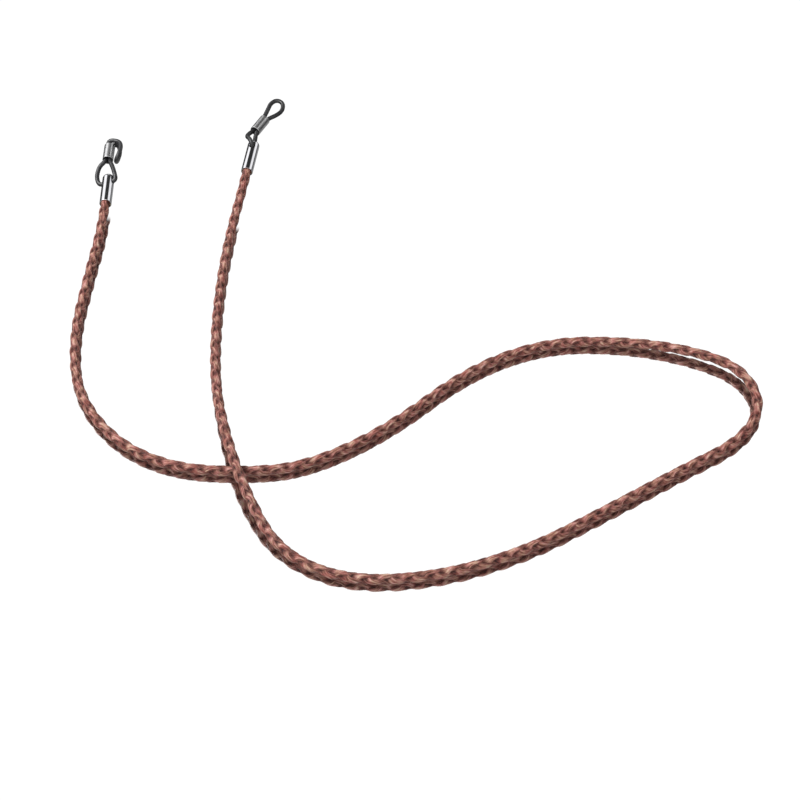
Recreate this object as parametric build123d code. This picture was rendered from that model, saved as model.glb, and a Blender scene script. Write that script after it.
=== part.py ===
from build123d import *
import os
from math import cos, radians, sin, tan

# Eyeglass retainer strap: one braided cord lying on a flat surface, with a clasp on each end.
# Each clasp is a metal end cap on the cord, a closed loop of rubber cord through the cap's
# cross hole, and a metal barrel that slides along the loop's two strands to grip a temple arm.
# Millimetres. X to the right, Y away, Z up. The surface is Z = 0, and the origin is on it, in
# the middle of the two clasps.

# ---- cord ----
CORD_DIAMETER = 3.5
CORD_RADIUS = CORD_DIAMETER / 2
LYING = CORD_RADIUS  # height of the cord's centre line where it lies on the surface
CROSSING = 5.6  # height of the centre line where the cord passes over itself
ARC_SHARE = 0.45  # share of the shorter run that each corner's arc takes up

# ---- end cap, from its mouth to the top of its dome ----
CAP_LENGTH = 14.4
CAP_RADIUS = 2.15
CAP_WALL = 0.2
CAP_BORE = CAP_RADIUS - CAP_WALL
DOME_FILLET = 1.6
DOME_WALL = 0.5
MOUTH_FILLET = 0.06
EYE_HEIGHT = 11.0  # centre of the cross hole above the mouth
EYE_RADIUS = 1.1

# ---- what holds the cord in the cap ----
CORD_IN_CAP = 9.2
WRAP_THICKNESS = 0.1
WRAP_LENGTH = 5.5
GLUE_START = 1.0
GLUE_TOP = 9.8

# ---- rubber loop and its sliding barrel ----
RUBBER_RADIUS = 0.8
STRAND_OFFSET = 0.84  # of each strand's centre from the barrel's axis
LEFT_ELBOW = 3.15  # of each strand's corner from the cap's axis, beside the cross hole
RIGHT_ELBOW = 3.1
BARREL_LENGTH = 7.4
BARREL_RADIUS = 1.95
BARREL_BORE = 1.72
BARREL_FILLET = 0.1
STRAND_LEAD = 0.7  # how far past the barrel's ends the two strands run side by side

# ---- where the two barrels lie; each cap lies in line with its end of the cord ----
LEFT_BARREL = (-29.4, -1.8, 3.6)
LEFT_HEADING = 0.0  # degrees to the right of +Y
LEFT_EYE_ROLL = 22.0  # slope of the cross hole, its right end upwards
RIGHT_BARREL = (24.6, 13.4, 3.7)
RIGHT_HEADING = 26.6
RIGHT_EYE_ROLL = 90.0

# The cord's route, from its end in the left cap to its end in the right cap.
ROUTE = [
    (-28.4, -17.7, 2.15),
    (-28.1, -37.5, 2.15),
    (-30.5, -62, LYING),
    (-32.5, -90, LYING),
    (-28.5, -116, LYING),
    (-14.5, -136, LYING),
    (4, -146.5, LYING),
    (27, -148.5, LYING),
    (47, -146, LYING),
    (72, -131, LYING),
    (99, -105, LYING),
    (125, -93, LYING),
    (151, -93, 2.0),
    (173, -98, 2.75),
    (188, -106.5, 3.1),
    (192.5, -122, 2.3),
    (183.5, -136, LYING),
    (165, -147, LYING),
    (140, -163, LYING),
    (114, -179, LYING),
    (87, -188.5, LYING),
    (59.5, -190, LYING),
    (39, -179, LYING),
    (28, -158, CROSSING),
    (21.5, -138, CROSSING),
    (16, -113, LYING),
    (14.5, -88, LYING),
    (15, -63, LYING),
    (16.8, -41, LYING),
    (19.5, -21.1, 1.9),
    (22.3, -1.8, 3.655),
]


def corner_radii(points, closed=False):
    """The radius of the tangent arc at each corner of a route, as large as its two runs allow."""
    points = [Vector(p) for p in points]
    count = len(points)
    corners = range(count) if closed else range(1, count - 1)
    radii = []
    for i in corners:
        before = points[i] - points[i - 1]
        after = points[(i + 1) % count] - points[i]
        half_turn = radians(before.get_angle(after)) / 2
        radii.append(ARC_SHARE * min(before.length, after.length) / tan(half_turn))
    return radii


def tube(points, radius):
    """A round cord along an open route of straight runs joined by tangent arcs."""
    path = FilletPolyline(*points, radius=corner_radii(points))
    section = Plane(origin=path @ 0, z_dir=path % 0) * Circle(radius)
    return sweep(section, path=path), path.length


def cap_frame(cord_end, before, eye_roll):
    """A cap's frame: Z along the cord's last run, origin at the mouth, X along the cross hole.

    The roll is the hole's slope: 0 lies level and 90 stands upright."""
    axis = (Vector(cord_end) - Vector(before)).normalized()
    level = axis.cross(Vector(0, 0, 1)).normalized()
    upright = level.cross(axis)
    roll = radians(eye_roll)
    across = level * cos(roll) + upright * sin(roll)
    return Plane(origin=Vector(cord_end) - axis * CORD_IN_CAP, x_dir=across, z_dir=axis)


def barrel_frame(centre, heading):
    """A barrel's frame: Z along its bore, origin in its middle, X level and to the right."""
    turn = radians(heading)
    return Plane(origin=centre, x_dir=(cos(turn), -sin(turn), 0), z_dir=(sin(turn), cos(turn), 0))


# The right cross hole stands upright, so one strand runs under that cap and raises its top.
LEFT_CAP_FRAME = cap_frame(ROUTE[0], ROUTE[1], LEFT_EYE_ROLL)
RIGHT_CAP_FRAME = cap_frame(ROUTE[-1], ROUTE[-2], RIGHT_EYE_ROLL)
LEFT_BARREL_FRAME = barrel_frame(LEFT_BARREL, LEFT_HEADING)
RIGHT_BARREL_FRAME = barrel_frame(RIGHT_BARREL, RIGHT_HEADING)


def end_cap():
    """A drawn metal cup with a domed top and a round hole across it for the rubber."""
    body = extrude(Circle(CAP_RADIUS), CAP_LENGTH)
    body = fillet(body.edges().sort_by(Axis.Z)[-1], DOME_FILLET)
    body = fillet(body.edges().sort_by(Axis.Z)[0], MOUTH_FILLET)
    bore = extrude(Circle(CAP_BORE), CAP_LENGTH - DOME_WALL)
    bore = fillet(bore.edges().sort_by(Axis.Z)[-1], DOME_FILLET - CAP_WALL)
    eye = Pos(0, 0, EYE_HEIGHT) * Rot(0, 90, 0) * Cylinder(EYE_RADIUS, 4 * CAP_RADIUS)
    return body - bore - eye


def end_wrap():
    """Thread wound round the cord's cut end, so that the braid can't open."""
    start = CORD_IN_CAP - WRAP_LENGTH
    ring = Circle(CORD_RADIUS + WRAP_THICKNESS) - Circle(CORD_RADIUS)
    return Pos(0, 0, start) * extrude(ring, WRAP_LENGTH)


def glue_plug():
    """The adhesive between the cord's bound end and the inside of the cap."""
    plug = Pos(0, 0, GLUE_START) * extrude(Circle(CAP_BORE), GLUE_TOP - GLUE_START)
    cord = extrude(Circle(CORD_RADIUS), CORD_IN_CAP)
    wrap_start = CORD_IN_CAP - WRAP_LENGTH
    wrap = Pos(0, 0, wrap_start) * extrude(Circle(CORD_RADIUS + WRAP_THICKNESS), WRAP_LENGTH)
    return plug - cord - wrap


def barrel():
    """A short metal tube with eased rims, centred on its own middle."""
    ring = Circle(BARREL_RADIUS) - Circle(BARREL_BORE)
    body = Pos(0, 0, -BARREL_LENGTH / 2) * extrude(ring, BARREL_LENGTH)
    return fillet(body.edges().filter_by(GeomType.CIRCLE), BARREL_FILLET)


def strand_in_barrel(frame, side):
    """The ends of one strand's straight run through the barrel, going up; side is +1 or -1."""
    half = BARREL_LENGTH / 2 + STRAND_LEAD
    return [frame.from_local_coords((side * STRAND_OFFSET, 0, z)) for z in (-half, half)]


def elbows(frame, reach):
    """The loop's two corners beside a cap, where it leaves the cross hole: minus side first."""
    return [frame.from_local_coords((side * reach, 0, EYE_HEIGHT)) for side in (-1, 1)]


def rubber_loop(points, cut):
    """A closed rubber cord, made as two tubes that meet at its first point and at point cut."""
    radii = corner_radii(points, closed=True)
    count = len(points)
    before_start = (Vector(points[-1]) + Vector(points[0])) / 2
    middle = (Vector(points[cut - 1]) + Vector(points[cut])) / 2
    halves = []
    for start, stop, first, last in ((0, cut, before_start, middle), (cut, count, middle, before_start)):
        path = FilletPolyline(first, *points[start:stop], last, radius=radii[start:stop])
        section = Plane(origin=path @ 0, z_dir=path % 0) * Circle(RUBBER_RADIUS)
        halves.append(sweep(section, path=path))
    return halves[0] + halves[1]


def left_loop_points():
    """The left loop: wide below its barrel, then bent over to the right and standing on edge."""
    right_strand = [(-26.1, -13.3, 4.3), (-27.3, -9.3, 4.0)]
    under = [(-26.4, 3.7, 2.6), (-25.8, 1.2, 1.3), (-26.3, -2.6, 1.2), (-26.6, -5.0, 2.0)]
    over = [(-26.2, -6.4, 4.8), (-25.1, -4.6, 6.2), (-24.8, -0.6, 6.0), (-25.9, 2.9, 5.2), (-29.5, 3.9, 4.9)]
    left_strand = [(-32.2, -7.9, 2.8), (-33.0, -11.2, 1.6), (-32.5, -14.2, 1.2)]
    going_up = strand_in_barrel(LEFT_BARREL_FRAME, 1)
    coming_down = strand_in_barrel(LEFT_BARREL_FRAME, -1)[::-1]
    eye = elbows(LEFT_CAP_FRAME, LEFT_ELBOW)
    return eye + right_strand + going_up + under + over + coming_down + left_strand


def right_loop_points():
    """The right loop: small below its barrel, then open in the shape of a drop."""
    right_strand = [(22.9, 2.9, 1.1), (23.0, 6.0, 2.5)]
    drop = [(3.05, -0.1, 8.2), (3.5, -0.4, 11.0), (2.05, -0.9, 13.85), (-0.7, -1.1, 14.15)]
    drop += [(-2.05, -0.8, 11.8), (-1.55, -0.3, 8.8)]
    drop = [RIGHT_BARREL_FRAME.from_local_coords(p) for p in drop]
    left_strand = [(21.0, 7.7, 4.7), (20.3, 4.5, 6.1), (21.6, 2.2, 7.1)]
    going_up = strand_in_barrel(RIGHT_BARREL_FRAME, 1)
    coming_down = strand_in_barrel(RIGHT_BARREL_FRAME, -1)[::-1]
    eye = elbows(RIGHT_CAP_FRAME, RIGHT_ELBOW)[::-1]
    return eye + right_strand + going_up + drop + coming_down + left_strand


def save(name, solid):
    export_step(solid, f"parts/{name}.step")


os.makedirs("parts", exist_ok=True)

cord, cord_length = tube(ROUTE, CORD_RADIUS)
print("cord length", round(cord_length, 1), "volume", round(cord.volume))
print("section times length", round(Circle(CORD_RADIUS).area * cord_length))
print("radii", [round(r) for r in corner_radii(ROUTE)])
save("braided_cord", cord)

for side, frame in (("left", LEFT_CAP_FRAME), ("right", RIGHT_CAP_FRAME)):
    save(f"{side}_end_cap", frame * end_cap())
    save(f"{side}_end_wrap", frame * end_wrap())
    save(f"{side}_glue_plug", frame * glue_plug())

save("left_slider_barrel", LEFT_BARREL_FRAME * barrel())
save("right_slider_barrel", RIGHT_BARREL_FRAME * barrel())

for side, points in (("left", left_loop_points()), ("right", right_loop_points())):
    print(side, "loop radii", [round(r, 1) for r in corner_radii(points, closed=True)])
    save(f"{side}_rubber_loop", rubber_loop(points, len(points) // 2))

for side, frame in (("left", LEFT_CAP_FRAME), ("right", RIGHT_CAP_FRAME)):
    eye_centre = frame.from_local_coords((0, 0, EYE_HEIGHT))
    print(side, "eye", eye_centre, "axis", frame.x_dir)
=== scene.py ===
from math import cos, pi, radians, sin

import bpy
import numpy as np
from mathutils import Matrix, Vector


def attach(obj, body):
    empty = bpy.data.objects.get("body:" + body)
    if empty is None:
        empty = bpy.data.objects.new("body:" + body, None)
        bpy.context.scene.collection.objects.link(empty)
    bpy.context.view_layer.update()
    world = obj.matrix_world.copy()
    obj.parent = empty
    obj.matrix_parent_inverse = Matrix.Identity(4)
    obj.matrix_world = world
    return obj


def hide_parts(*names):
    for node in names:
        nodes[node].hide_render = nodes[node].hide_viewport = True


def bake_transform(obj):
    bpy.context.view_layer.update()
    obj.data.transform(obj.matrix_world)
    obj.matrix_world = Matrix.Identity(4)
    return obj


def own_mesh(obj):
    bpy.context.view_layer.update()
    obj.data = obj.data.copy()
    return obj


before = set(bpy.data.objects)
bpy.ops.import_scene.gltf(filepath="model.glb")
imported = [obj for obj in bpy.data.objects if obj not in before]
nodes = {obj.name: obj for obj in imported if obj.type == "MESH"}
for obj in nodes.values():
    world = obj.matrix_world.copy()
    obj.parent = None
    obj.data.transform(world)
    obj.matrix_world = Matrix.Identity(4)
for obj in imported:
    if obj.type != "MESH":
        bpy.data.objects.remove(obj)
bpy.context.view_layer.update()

MM = 0.001

# ---- the cord's route from the left cap to the right cap, in metres ----
ROUTE = [
    (-0.0284, -0.0177, 0.00215),
    (-0.0281, -0.0375, 0.00215),
    (-0.0305, -0.062, 0.00175),
    (-0.0325, -0.09, 0.00175),
    (-0.0285, -0.116, 0.00175),
    (-0.0145, -0.136, 0.00175),
    (0.004, -0.1465, 0.00175),
    (0.027, -0.1485, 0.00175),
    (0.047, -0.146, 0.00175),
    (0.072, -0.131, 0.00175),
    (0.099, -0.105, 0.00175),
    (0.125, -0.093, 0.00175),
    (0.151, -0.093, 0.002),
    (0.173, -0.098, 0.00275),
    (0.188, -0.1065, 0.0031),
    (0.1925, -0.122, 0.0023),
    (0.1835, -0.136, 0.00175),
    (0.165, -0.147, 0.00175),
    (0.14, -0.163, 0.00175),
    (0.114, -0.179, 0.00175),
    (0.087, -0.1885, 0.00175),
    (0.0595, -0.19, 0.00175),
    (0.039, -0.179, 0.00175),
    (0.028, -0.158, 0.0056),
    (0.0215, -0.138, 0.0056),
    (0.016, -0.113, 0.00175),
    (0.0145, -0.088, 0.00175),
    (0.015, -0.063, 0.00175),
    (0.0168, -0.041, 0.00175),
    (0.0195, -0.0211, 0.0019),
    (0.0223, -0.0018, 0.003655),
]

# ---- the braid: four strands, two of each hand ----
LAY = 13.3 * MM  # along the cord, for one turn of a strand
STRAND_MEAN = 0.95 * MM  # of a strand's centre from the cord's axis, between over and under
STRAND_SWING = 0.34 * MM  # further out where it runs over, and further in where it runs under
STRAND_TUCK = 0.14 * MM
STRAND_DWELL = 0.36  # how nearly a strand runs along the cord where it is over, up to 0.5
STRAND_HALF_WIDTH = 1.28 * MM
STRAND_HALF_THICKNESS = 0.52 * MM
STRAND_SPREAD = 0.24  # share by which it is narrower where it runs over, and wider where it runs under
STRAND_PLUMP = 0.18  # share by which it is thicker where it runs over
BRAID_DRIFT = radians(20)  # slow turn of the pattern about the cord, from end to end
STRAND_SIDES = 20  # points round a strand's section
GROOVE_FLOOR = 1.0 * MM  # distance from the cord's axis where the thread is darkest
CROWN_TOP = 1.7 * MM  # and where it is lightest
SECTION_POWER = 0.92  # 1 is an ellipse, and less is squarer
ROUTE_RESOLUTION = 40  # points that the route's spline gives between two of its own

# ---- where the parts of the clasps are ----
BARREL_HALF = 3.7 * MM
STRAND_OFFSET = 0.84 * MM
STRAND_LEAD = 0.7 * MM
RUBBER_RADIUS = 0.8 * MM
RUBBER_SIDES = 24
LOOP_RESOLUTION = 16
LEFT_ELBOW = 3.15 * MM  # of each strand's corner from the cap's axis, beside the cross hole
RIGHT_ELBOW = 3.1 * MM


# ---------------------------------------------------------------- mesh helpers
def spline_line(points, resolution):
    """The points that Blender gives for a smooth NURBS spline with these control points."""
    curve = bpy.data.curves.new("line", "CURVE")
    curve.dimensions = "3D"
    curve.resolution_u = resolution
    spline = curve.splines.new("NURBS")
    spline.points.add(len(points) - 1)
    for point, place in zip(spline.points, points):
        point.co = (*place, 1)
    spline.order_u = 3
    spline.use_endpoint_u = True
    holder = bpy.data.objects.new("line", curve)
    mesh = bpy.data.meshes.new_from_object(holder)
    line = np.array([v.co for v in mesh.vertices])
    bpy.data.objects.remove(holder)
    bpy.data.meshes.remove(mesh)
    bpy.data.curves.remove(curve)
    return line


def unit(vectors):
    return vectors / np.linalg.norm(vectors, axis=-1, keepdims=True)


def distance_along(line):
    return np.concatenate([[0], np.cumsum(np.linalg.norm(np.diff(line, axis=0), axis=1))])


def carried_frames(line, first):
    """Two directions across a line at each of its points, carried along it without twist."""
    ahead = unit(np.gradient(line, axis=0))
    across = np.empty_like(line)
    held = np.array(first, float)
    for i, direction in enumerate(ahead):
        held = held - direction * held.dot(direction)
        held = held / np.linalg.norm(held)
        across[i] = held
    return across, np.cross(ahead, across)


def skin(name, sleeves):
    """One mesh of closed sleeves. Each is (rings, along, shade): an array of rings of points,
    the distance along, and one number per point, the painted shade that the shader darkens the colour by."""
    places, faces, across_uv, along_uv, shades = [], [], [], [], []
    start = 0
    for rings, along, shade in sleeves:
        count, around, _ = rings.shape
        places.append(rings.reshape(-1, 3))
        shades.append(shade.reshape(-1))
        for i in range(count - 1):
            for j in range(around):
                k = (j + 1) % around
                low = start + i * around
                high = low + around
                faces.append((low + j, low + k, high + k, high + j))
                across_uv.append((j / around, (j + 1) / around, (j + 1) / around, j / around))
                along_uv.append((along[i], along[i], along[i + 1], along[i + 1]))
        faces.append(tuple(start + j for j in range(around))[::-1])
        across_uv.append((0.5,) * around)
        along_uv.append((along[0],) * around)
        last = start + (count - 1) * around
        faces.append(tuple(last + j for j in range(around)))
        across_uv.append((0.5,) * around)
        along_uv.append((along[-1],) * around)
        start += count * around
    mesh = bpy.data.meshes.new(name)
    mesh.from_pydata(np.vstack(places).tolist(), [], faces)
    layer = mesh.uv_layers.new(name="UVMap")
    pairs = np.stack(
        [np.concatenate([np.array(u) for u in uv]) for uv in (across_uv, along_uv)],
        axis=1,
    )
    layer.data.foreach_set("uv", pairs.astype(np.float32).ravel())
    # painted shade, stored per point for the shader
    attribute = mesh.attributes.new("shade", "FLOAT", "POINT")
    attribute.data.foreach_set("value", np.concatenate(shades).astype(np.float32))
    mesh.polygons.foreach_set("use_smooth", [True] * len(mesh.polygons))
    mesh.update()
    obj = bpy.data.objects.new(name, mesh)
    bpy.context.scene.collection.objects.link(obj)
    return obj


# ---------------------------------------------------------------- node helpers
def new_material(name):
    material = bpy.data.materials.new(name)
    material.use_nodes = True
    tree = material.node_tree
    shader = tree.nodes["Principled BSDF"]
    return material, tree, shader


def add(tree, kind, inputs=(), **settings):
    node = tree.nodes.new(kind)
    for key, value in settings.items():
        setattr(node, key, value)
    for key, value in dict(inputs).items():
        socket = node.inputs[key]
        if isinstance(value, bpy.types.NodeSocket):
            tree.links.new(value, socket)
        else:
            socket.default_value = value
    return node


def math_node(tree, operation, *values, clamp=False):
    node = tree.nodes.new("ShaderNodeMath")
    node.operation = operation
    node.use_clamp = clamp
    for socket, value in zip(node.inputs, values):
        if isinstance(value, bpy.types.NodeSocket):
            tree.links.new(value, socket)
        else:
            socket.default_value = value
    return node.outputs[0]


def ramp(tree, value, stops):
    node = tree.nodes.new("ShaderNodeValToRGB")
    tree.links.new(value, node.inputs[0])
    while len(node.color_ramp.elements) < len(stops):
        node.color_ramp.elements.new(1.0)
    for element, (place, colour) in zip(node.color_ramp.elements, stops):
        element.position = place
        element.color = (*colour, 1)
    return node.outputs[0]


def mixed(tree, kind, share, first, second):
    node = tree.nodes.new("ShaderNodeMix")
    node.data_type = "RGBA"
    node.blend_type = kind
    for socket, value in ((node.inputs[0], share), (node.inputs[6], first), (node.inputs[7], second)):
        if isinstance(value, bpy.types.NodeSocket):
            tree.links.new(value, socket)
        elif isinstance(value, tuple):
            socket.default_value = (*value, 1)
        else:
            socket.default_value = value
    return node.outputs[2]


def bumped(tree, shader, height, strength, distance):
    node = add(tree, "ShaderNodeBump", {"Height": height, "Strength": strength, "Distance": distance})
    tree.links.new(node.outputs[0], shader.inputs["Normal"])
    return node


# ---------------------------------------------------------------- materials
def braid_material():
    """Waxed brown thread: fine filaments along each strand, uneven in colour, with painted shade darkening
    the grooves.
    """
    material, tree, shader = new_material("braided_thread")
    place = add(tree, "ShaderNodeUVMap", uv_map="UVMap").outputs[0]
    split = add(tree, "ShaderNodeSeparateXYZ", {0: place})
    around, along = split.outputs[0], split.outputs[1]
    # filaments, wound a little about their strand
    slant = math_node(tree, "ADD", around, math_node(tree, "MULTIPLY", along, 24.0))
    fine = math_node(tree, "MULTIPLY", slant, 11.0)
    broken = math_node(tree, "MULTIPLY", along, 330.0)
    streak_place = add(tree, "ShaderNodeCombineXYZ", {0: fine, 1: broken}).outputs[0]
    streaks = add(
        tree, "ShaderNodeTexNoise", {"Vector": streak_place, "Scale": 1.0, "Detail": 3.0, "Roughness": 0.6}
    ).outputs[0]
    patch_place = add(
        tree,
        "ShaderNodeCombineXYZ",
        {0: math_node(tree, "MULTIPLY", around, 3.0), 1: math_node(tree, "MULTIPLY", along, 380.0)},
    ).outputs[0]
    patches = add(
        tree, "ShaderNodeTexNoise", {"Vector": patch_place, "Scale": 1.0, "Detail": 2.0}
    ).outputs[0]
    base = ramp(
        tree,
        streaks,
        [
            (0.32, (0.06, 0.012, 0.009)),
            (0.43, (0.205, 0.067, 0.050)),
            (0.54, (0.365, 0.168, 0.138)),
            (0.67, (0.52, 0.33, 0.275)),
        ],
    )
    tinted = ramp(
        tree,
        patches,
        [
            (0.34, (0.80, 0.56, 0.50)),
            (0.45, (1.03, 0.92, 0.97)),
            (0.56, (0.93, 1.04, 0.86)),
            (0.68, (1.12, 1.12, 1.18)),
        ],
    )
    base = mixed(tree, "MULTIPLY", 1.0, base, tinted)
    # painted shade: the mesh's shade attribute darkens the colour in the grooves and at the strands' edges
    shade = add(tree, "ShaderNodeAttribute", attribute_name="shade").outputs["Fac"]
    groove_shade_stops = [(0.15, (0.22, 0.11, 0.10)), (0.42, (0.54, 0.42, 0.41)), (0.78, (1.0, 1.0, 1.0))]
    groove_shade = ramp(tree, shade, groove_shade_stops)
    base = mixed(tree, "MULTIPLY", 1.0, base, groove_shade)
    tree.links.new(base, shader.inputs["Base Color"])
    shader.inputs["Roughness"].default_value = 0.62
    shader.inputs["Specular IOR Level"].default_value = 0.35
    shader.inputs["Sheen Weight"].default_value = 0.18
    shader.inputs["Sheen Roughness"].default_value = 0.4
    shader.inputs["Sheen Tint"].default_value = (0.9, 0.72, 0.66, 1)
    threads = math_node(tree, "SINE", math_node(tree, "MULTIPLY", slant, 2 * pi * 15))
    height = math_node(tree, "ADD", math_node(tree, "MULTIPLY", threads, 0.5), streaks)
    bumped(tree, shader, height, 0.8, 0.00006)
    return material


def metal_material(name, colour, roughness):
    """Polished plating with a faint haze and fine scuffs."""
    material, tree, shader = new_material(name)
    place = add(tree, "ShaderNodeTexCoord").outputs["Object"]
    haze = add(tree, "ShaderNodeTexNoise", {"Vector": place, "Scale": 420.0, "Detail": 4.0}).outputs[0]
    scuffs = add(
        tree, "ShaderNodeTexNoise", {"Vector": place, "Scale": 2600.0, "Detail": 2.0, "Roughness": 0.7}
    ).outputs[0]
    tint = ramp(tree, haze, [(0.3, tuple(0.9 * c for c in colour)), (0.7, colour)])
    tree.links.new(tint, shader.inputs["Base Color"])
    rough = add(
        tree,
        "ShaderNodeMapRange",
        {
            "Value": scuffs,
            "From Min": 0.3,
            "From Max": 0.8,
            "To Min": roughness,
            "To Max": roughness + 0.1,
        },
    ).outputs[0]
    tree.links.new(rough, shader.inputs["Roughness"])
    shader.inputs["Metallic"].default_value = 1.0
    bumped(tree, shader, scuffs, 0.02, 0.00002)
    return material


def rubber_material():
    """Black satin rubber with a fine grain and a little bloom."""
    material, tree, shader = new_material("black_rubber")
    place = add(tree, "ShaderNodeTexCoord").outputs["Object"]
    grain = add(tree, "ShaderNodeTexNoise", {"Vector": place, "Scale": 6000.0, "Detail": 3.0}).outputs[0]
    bloom = add(tree, "ShaderNodeTexNoise", {"Vector": place, "Scale": 500.0, "Detail": 3.0}).outputs[0]
    base = ramp(tree, bloom, [(0.35, (0.010, 0.010, 0.011)), (0.7, (0.024, 0.024, 0.026))])
    tree.links.new(base, shader.inputs["Base Color"])
    rough = add(
        tree,
        "ShaderNodeMapRange",
        {"Value": bloom, "From Min": 0.3, "From Max": 0.7, "To Min": 0.34, "To Max": 0.46},
    ).outputs[0]
    tree.links.new(rough, shader.inputs["Roughness"])
    bumped(tree, shader, grain, 0.15, 0.00002)
    return material


def wrap_material():
    """Thin thread wound round the cord, one turn beside the next."""
    material, tree, shader = new_material("wound_thread")
    place = add(tree, "ShaderNodeTexCoord").outputs["Object"]
    turns = add(
        tree, "ShaderNodeTexWave", {"Vector": place, "Scale": 900.0, "Distortion": 0.6}, bands_direction="Y"
    ).outputs[1]
    base = ramp(tree, turns, [(0.0, (0.06, 0.028, 0.02)), (1.0, (0.26, 0.13, 0.10))])
    tree.links.new(base, shader.inputs["Base Color"])
    shader.inputs["Roughness"].default_value = 0.8
    bumped(tree, shader, turns, 0.6, 0.00005)
    return material


def glue_material():
    """Set clear-yellow adhesive with small bubbles."""
    material, tree, shader = new_material("set_adhesive")
    place = add(tree, "ShaderNodeTexCoord").outputs["Object"]
    bubbles = add(tree, "ShaderNodeTexVoronoi", {"Vector": place, "Scale": 1800.0}).outputs[0]
    base = ramp(tree, bubbles, [(0.1, (0.42, 0.33, 0.16)), (0.6, (0.62, 0.52, 0.30))])
    tree.links.new(base, shader.inputs["Base Color"])
    shader.inputs["Roughness"].default_value = 0.3
    bumped(tree, shader, bubbles, 0.3, 0.00004)
    return material


def dress(obj, material):
    obj.data.materials.clear()
    obj.data.materials.append(material)


thread = braid_material()
cap_metal = metal_material("cap_plating", (0.55, 0.55, 0.57), 0.07)
barrel_metal = metal_material("barrel_plating", (0.51, 0.51, 0.515), 0.28)
rubber = rubber_material()
wound_thread = wrap_material()
adhesive = glue_material()


# ---------------------------------------------------------------- the braided cord
def braid_strand(line, along, level, upright, hand, offset):
    """One strand: it winds round the cord, and runs over and under the strands of the other hand."""
    swing = 4 * pi * along / LAY
    beat = hand * np.cos(swing)  # 1 where the strand is over, -1 where it is under
    turn = hand * 2 * pi * along / LAY - STRAND_DWELL * np.sin(swing) + offset
    turn = turn + BRAID_DRIFT * along / along[-1]
    reach = STRAND_MEAN + STRAND_SWING * beat - STRAND_TUCK * beat**2
    out = np.cos(turn)[:, None] * level + np.sin(turn)[:, None] * upright
    centre = line + reach[:, None] * out
    ahead = unit(np.gradient(centre, axis=0))
    out = unit(out - ahead * np.sum(out * ahead, axis=1, keepdims=True))
    across = np.cross(ahead, out)
    half_width = STRAND_HALF_WIDTH * (1 - STRAND_SPREAD * beat)
    half_thickness = STRAND_HALF_THICKNESS * (1 + STRAND_PLUMP * beat)
    angles = np.arange(STRAND_SIDES) * 2 * pi / STRAND_SIDES
    x = np.sign(np.cos(angles)) * np.abs(np.cos(angles)) ** SECTION_POWER
    y = np.sign(np.sin(angles)) * np.abs(np.sin(angles)) ** SECTION_POWER
    rings = (
        centre[:, None, :]
        + across[:, None, :] * (half_width[:, None] * x)[:, :, None]
        + out[:, None, :] * (half_thickness[:, None] * y)[:, :, None]
    )
    # painted shade for the thread's colour: it runs from 0, deep in a groove, to 1, on a crown
    height = np.linalg.norm(rings - line[:, None, :], axis=2)
    outward = np.clip((height - GROOVE_FLOOR) / (CROWN_TOP - GROOVE_FLOOR), 0, 1)
    # painted shade: darker towards each strand's edges, and where a strand runs under the other hand
    middle = 1 - 0.85 * np.abs(x)[None, :] ** 2.5
    crown = np.clip((beat[:, None] + 0.8) / 1.4, 0, 1) * middle
    return rings, along, 0.4 * outward + 0.6 * crown


route_line = spline_line(ROUTE, ROUTE_RESOLUTION)
route_along = distance_along(route_line)
level, upright = carried_frames(route_line, (1, 0, 0))
strands = [
    braid_strand(route_line, route_along, level, upright, hand, offset)
    for hand in (1, -1)
    for offset in (0, pi)
]
cord = skin("cord_braid", strands)
dress(cord, thread)
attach(cord, "strap")
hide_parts("braided_cord")


# ---------------------------------------------------------------- rubber loops
def cap_axes(end, before, roll):
    """The cap's axis and the direction of its cross hole, from the cord's last run."""
    axis = unit(np.array(end) - np.array(before))
    level = unit(np.cross(axis, (0, 0, 1)))
    return axis, level * cos(radians(roll)) + np.cross(level, axis) * sin(radians(roll))


def barrel_axes(heading):
    """A barrel's directions: to the right, down, and along its bore."""
    turn = radians(heading)
    along = np.array([sin(turn), cos(turn), 0])
    across = np.array([cos(turn), -sin(turn), 0])
    return across, np.cross(along, across), along


def tube(name, line):
    along = distance_along(line)
    across, up = carried_frames(line, (0.3, 0.2, 1))
    angles = np.arange(RUBBER_SIDES) * 2 * pi / RUBBER_SIDES
    rings = line[:, None, :] + RUBBER_RADIUS * (
        across[:, None, :] * np.cos(angles)[None, :, None] + up[:, None, :] * np.sin(angles)[None, :, None]
    )
    return skin(name, [(rings, along, np.ones(rings.shape[:2]))])


def in_barrel(centre, axes, side, places):
    across, _, along = axes
    return [centre + across * side * STRAND_OFFSET + along * place for place in places]


CAP_EYE_ABOVE_CORD_END = 1.8 * MM
LEFT_AXES = barrel_axes(0.0)
LEFT_CENTRE = np.array([-29.4, -1.8, 3.6]) * MM
RIGHT_AXES = barrel_axes(26.6)
RIGHT_CENTRE = np.array([24.6, 13.4, 3.7]) * MM
LEAD = BARREL_HALF + STRAND_LEAD
SEAM = 2.2 * MM  # above a barrel's middle, where the two pieces of each loop meet, out of sight

left_axis, left_hole = cap_axes(ROUTE[0], ROUTE[1], 22.0)
left_eye = np.array(ROUTE[0]) + left_axis * CAP_EYE_ABOVE_CORD_END
right_axis, right_hole = cap_axes(ROUTE[-1], ROUTE[-2], 90.0)
right_eye = np.array(ROUTE[-1]) + right_axis * CAP_EYE_ABOVE_CORD_END


def millimetres(points):
    return [np.array(p) * MM for p in points]


def from_barrel(centre, axes, points):
    return [centre + MM * sum(axis * value for axis, value in zip(axes, p)) for p in points]


up_to_seam = [-LEAD, -BARREL_HALF * 0.5, SEAM * 0.4, SEAM]
past_seam = [SEAM, BARREL_HALF * 0.85, LEAD]

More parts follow.
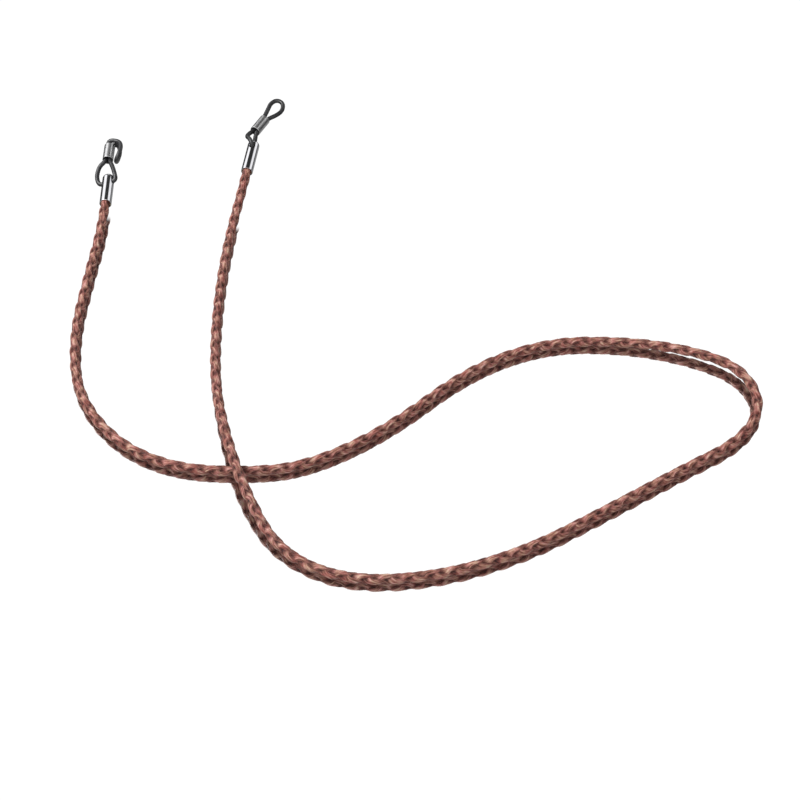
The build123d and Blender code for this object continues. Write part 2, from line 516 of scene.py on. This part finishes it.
left_lower = (
    in_barrel(LEFT_CENTRE, LEFT_AXES, -1, up_to_seam[::-1])
    + millimetres([(-32.2, -7.9, 2.8), (-33.0, -11.2, 1.6), (-32.5, -14.2, 1.2)])
    + [left_eye - left_hole * LEFT_ELBOW, left_eye, left_eye + left_hole * LEFT_ELBOW]
    + millimetres([(-26.1, -13.3, 4.3), (-27.3, -9.3, 4.0)])
    + in_barrel(LEFT_CENTRE, LEFT_AXES, 1, up_to_seam)
)
left_upper = (
    in_barrel(LEFT_CENTRE, LEFT_AXES, 1, past_seam)
    + millimetres([(-26.4, 3.7, 2.6), (-25.8, 1.2, 1.3), (-26.3, -2.6, 1.2), (-26.6, -5.0, 2.0)])
    + millimetres([(-26.2, -6.4, 4.8), (-25.1, -4.6, 6.2), (-24.8, -0.6, 6.0), (-25.9, 2.9, 5.2)])
    + millimetres([(-29.5, 3.9, 4.9)])
    + in_barrel(LEFT_CENTRE, LEFT_AXES, -1, past_seam[::-1])
)
right_lower = (
    in_barrel(RIGHT_CENTRE, RIGHT_AXES, -1, up_to_seam[::-1])
    + millimetres([(21.0, 7.7, 4.7), (20.3, 4.5, 6.1), (21.6, 2.2, 7.1)])
    + [right_eye + right_hole * RIGHT_ELBOW, right_eye, right_eye - right_hole * RIGHT_ELBOW]
    + millimetres([(22.9, 2.9, 1.1), (23.0, 6.0, 2.5)])
    + in_barrel(RIGHT_CENTRE, RIGHT_AXES, 1, up_to_seam)
)
drop = [(3.05, -0.1, 8.2), (3.5, -0.4, 11.0), (2.05, -0.9, 13.85), (-0.7, -1.1, 14.15)]
drop += [(-2.05, -0.8, 11.8), (-1.55, -0.3, 8.8)]
right_upper = (
    in_barrel(RIGHT_CENTRE, RIGHT_AXES, 1, past_seam)
    + from_barrel(RIGHT_CENTRE, RIGHT_AXES, drop)
    + in_barrel(RIGHT_CENTRE, RIGHT_AXES, -1, past_seam[::-1])
)

loops = {}
for name, points in (
    ("left_loop_strands", left_lower),
    ("left_temple_loop", left_upper),
    ("right_loop_strands", right_lower),
    ("right_temple_loop", right_upper),
):
    loops[name] = tube(name, spline_line(points, LOOP_RESOLUTION))
    dress(loops[name], rubber)
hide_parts("left_rubber_loop")
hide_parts("right_rubber_loop")
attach(loops["left_temple_loop"], "left_slider")
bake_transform(loops["left_loop_strands"])
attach(loops["right_loop_strands"], "right_loop")
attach(loops["right_temple_loop"], "right_loop")
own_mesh(loops["right_temple_loop"])

# ---------------------------------------------------------------- carried-over CAD nodes
for side in ("left", "right"):
    dress(nodes[f"{side}_end_cap"], cap_metal)
    dress(nodes[f"{side}_slider_barrel"], barrel_metal)
    dress(nodes[f"{side}_end_wrap"], wound_thread)
    dress(nodes[f"{side}_glue_plug"], adhesive)


# ---------------------------------------------------------------- floor, light and camera
WHITE = 1.05  # glow of the floor's matt part and of the tent
TENT_RADIUS = 8.0
FLOOR_HALF = 3.0
MIRROR_SLOPE = 0.116  # of the line where the floor turns from mirror to matt, crossing both cords
MIRROR_EDGE = (-0.0372, -0.0334)  # where that turn begins and ends, along Y


def floor_material():
    """Pale polished surface that mirrors the cord, and is matt under the clasps."""
    material, tree, shader = new_material("pale_floor")
    place = add(tree, "ShaderNodeTexCoord").outputs["Object"]
    cloud = add(tree, "ShaderNodeTexNoise", {"Vector": place, "Scale": 8.0, "Detail": 2.0}).outputs[0]
    tint = ramp(tree, cloud, [(0.3, (0.95, 0.95, 0.95)), (0.7, (0.97, 0.97, 0.97))])
    tree.links.new(tint, shader.inputs["Base Color"])
    shader.inputs["Metallic"].default_value = 1.0
    shader.inputs["Roughness"].default_value = 0.06
    split = add(tree, "ShaderNodeSeparateXYZ", {0: place})
    slant = math_node(tree, "MULTIPLY", split.outputs[0], MIRROR_SLOPE)
    back = math_node(tree, "ADD", split.outputs[1], slant)
    behind = add(
        tree,
        "ShaderNodeMapRange",
        {
            "Value": back,
            "From Min": MIRROR_EDGE[0],
            "From Max": MIRROR_EDGE[1],
            "To Min": 0.0,
            "To Max": 1.0,
        },
        interpolation_type="SMOOTHSTEP",
    ).outputs[0]
    white = add(tree, "ShaderNodeEmission", {"Color": (1, 1, 1, 1), "Strength": WHITE}).outputs[0]
    blend = add(tree, "ShaderNodeMixShader", {0: behind, 1: shader.outputs[0], 2: white}).outputs[0]
    tree.links.new(blend, tree.nodes["Material Output"].inputs["Surface"])
    return material


def plate(name, half, height):
    mesh = bpy.data.meshes.new(name)
    corners = [(-half, -half, height), (half, -half, height), (half, half, height), (-half, half, height)]
    mesh.from_pydata(corners, [], [(0, 1, 2, 3)])
    obj = bpy.data.objects.new(name, mesh)
    bpy.context.scene.collection.objects.link(obj)
    return obj


floor = plate("floor", FLOOR_HALF, 0.0)
dress(floor, floor_material())
floor.visible_diffuse = False
floor.visible_glossy = False

def tent_material():
    material = bpy.data.materials.new("tent_light")
    material.use_nodes = True
    tree = material.node_tree
    tree.nodes.clear()
    glow = add(tree, "ShaderNodeEmission", {"Color": (1, 1, 1, 1), "Strength": WHITE}).outputs[0]
    clear = add(tree, "ShaderNodeBsdfTransparent").outputs[0]
    both = add(tree, "ShaderNodeAddShader", {0: glow, 1: clear}).outputs[0]
    add(tree, "ShaderNodeOutputMaterial", {"Surface": both})
    return material


def ball(name, radius, bands, sides):
    """A closed ball of rings of points, without its two poles."""
    points = []
    for i in range(1, bands):
        rise = pi * (i / bands - 0.5)
        for j in range(sides):
            turn = 2 * pi * j / sides
            points.append(
                (radius * cos(turn) * cos(rise), radius * sin(turn) * cos(rise), radius * sin(rise))
            )
    faces = [
        (i * sides + j, i * sides + (j + 1) % sides, (i + 1) * sides + (j + 1) % sides, (i + 1) * sides + j)
        for i in range(bands - 2)
        for j in range(sides)
    ]
    faces.append(tuple(range(sides))[::-1])
    faces.append(tuple((bands - 2) * sides + j for j in range(sides)))
    mesh = bpy.data.meshes.new(name)
    mesh.from_pydata(points, [], faces)
    obj = bpy.data.objects.new(name, mesh)
    bpy.context.scene.collection.objects.link(obj)
    return obj


# A white tent that only the floor mirrors, so that the floor stays white.
tent = ball("tent", TENT_RADIUS, 12, 32)
dress(tent, tent_material())
tent.visible_diffuse = False
tent.visible_shadow = False
receivers = bpy.data.collections.new("tent_receivers")
receivers.objects.link(floor)
tent.light_linking.receiver_collection = receivers


def studio_world():
    """Soft boxes left and right of the clasps and overhead, with a dark gap between them."""
    world = bpy.data.worlds.new("studio")
    world.use_nodes = True
    tree = world.node_tree
    tree.nodes.clear()
    way = add(tree, "ShaderNodeTexCoord").outputs["Generated"]

    def lobe(direction, inner, outer, strength):
        """Bright within the inner angle of a direction, fading to nothing at the outer one."""
        aim = unit(np.array(direction, float))
        match = add(tree, "ShaderNodeVectorMath", {0: way, 1: tuple(aim)}, operation="DOT_PRODUCT")
        share = add(
            tree,
            "ShaderNodeMapRange",
            {
                "Value": match.outputs["Value"],
                "From Min": cos(radians(outer)),
                "From Max": cos(radians(inner)),
                "To Min": 0.0,
                "To Max": strength,
            },
            interpolation_type="SMOOTHSTEP",
        ).outputs[0]
        return share

    total = lobe((-0.578, 0.656, 0.485), 15, 24, 1.8)
    for direction, inner, outer, strength in (
        ((0.684, 0.656, 0.319), 13, 22, 1.55),
        ((0, 0.90, 0.44), 7, 16, 1.0),
        ((-0.45, -0.55, 0.85), 25, 60, 1.5),
        ((0.5, -0.6, 0.5), 20, 50, 0.6),
        ((0.62, 0.28, 0.73), 6, 15, 1.2),
        ((0.2, 0.3, -0.9), 30, 75, 0.42),
        ((0, -0.8, -0.5), 20, 70, 0.45),
    ):
        total = math_node(tree, "ADD", total, lobe(direction, inner, outer, strength))
    gap = lobe((0.25, 0.57, 0.78), 15, 24, 1.0)
    total = math_node(tree, "MULTIPLY", total, math_node(tree, "SUBTRACT", 1.0, gap))
    total = math_node(tree, "ADD", total, 0.05)
    background = add(tree, "ShaderNodeBackground", {"Color": (1, 1, 1, 1), "Strength": total})
    add(tree, "ShaderNodeOutputWorld", {"Surface": background.outputs[0]})
    world.cycles_visibility.camera = False
    bpy.context.scene.world = world


studio_world()


def soft_light(name, place, aim, width, power, colour=(1, 1, 1)):
    light = bpy.data.lights.new(name, "AREA")
    light.shape = "RECTANGLE"
    light.size = width
    light.size_y = width
    light.energy = power
    light.color = colour
    obj = bpy.data.objects.new(name, light)
    bpy.context.scene.collection.objects.link(obj)
    obj.location = place
    direction = unit(np.array(aim, float) - np.array(place, float))
    obj.rotation_euler = Vector(direction).to_track_quat("-Z", "Y").to_euler()
    return obj


soft_light("key_light", (-0.58, 0.13, 0.72), (0.05, -0.1, 0), 0.45, 9.0)

CAMERA_TILT = radians(49)  # above the surface
CAMERA_DISTANCE = 0.615
CAMERA_AIM = (0.076, -0.117)  # the point on the surface in the middle of the view

camera_data = bpy.data.cameras.new("camera")
camera_data.sensor_width = 36
camera_data.lens = 85.5
camera_data.clip_start = 0.01
camera_data.clip_end = 50
camera = bpy.data.objects.new("camera", camera_data)
bpy.context.scene.collection.objects.link(camera)
camera.location = (
    CAMERA_AIM[0],
    CAMERA_AIM[1] - CAMERA_DISTANCE * cos(CAMERA_TILT),
    CAMERA_DISTANCE * sin(CAMERA_TILT),
)
camera.rotation_euler = (pi / 2 - CAMERA_TILT, 0, 0)
bpy.context.scene.camera = camera
bpy.context.scene.view_settings.view_transform = "Standard"
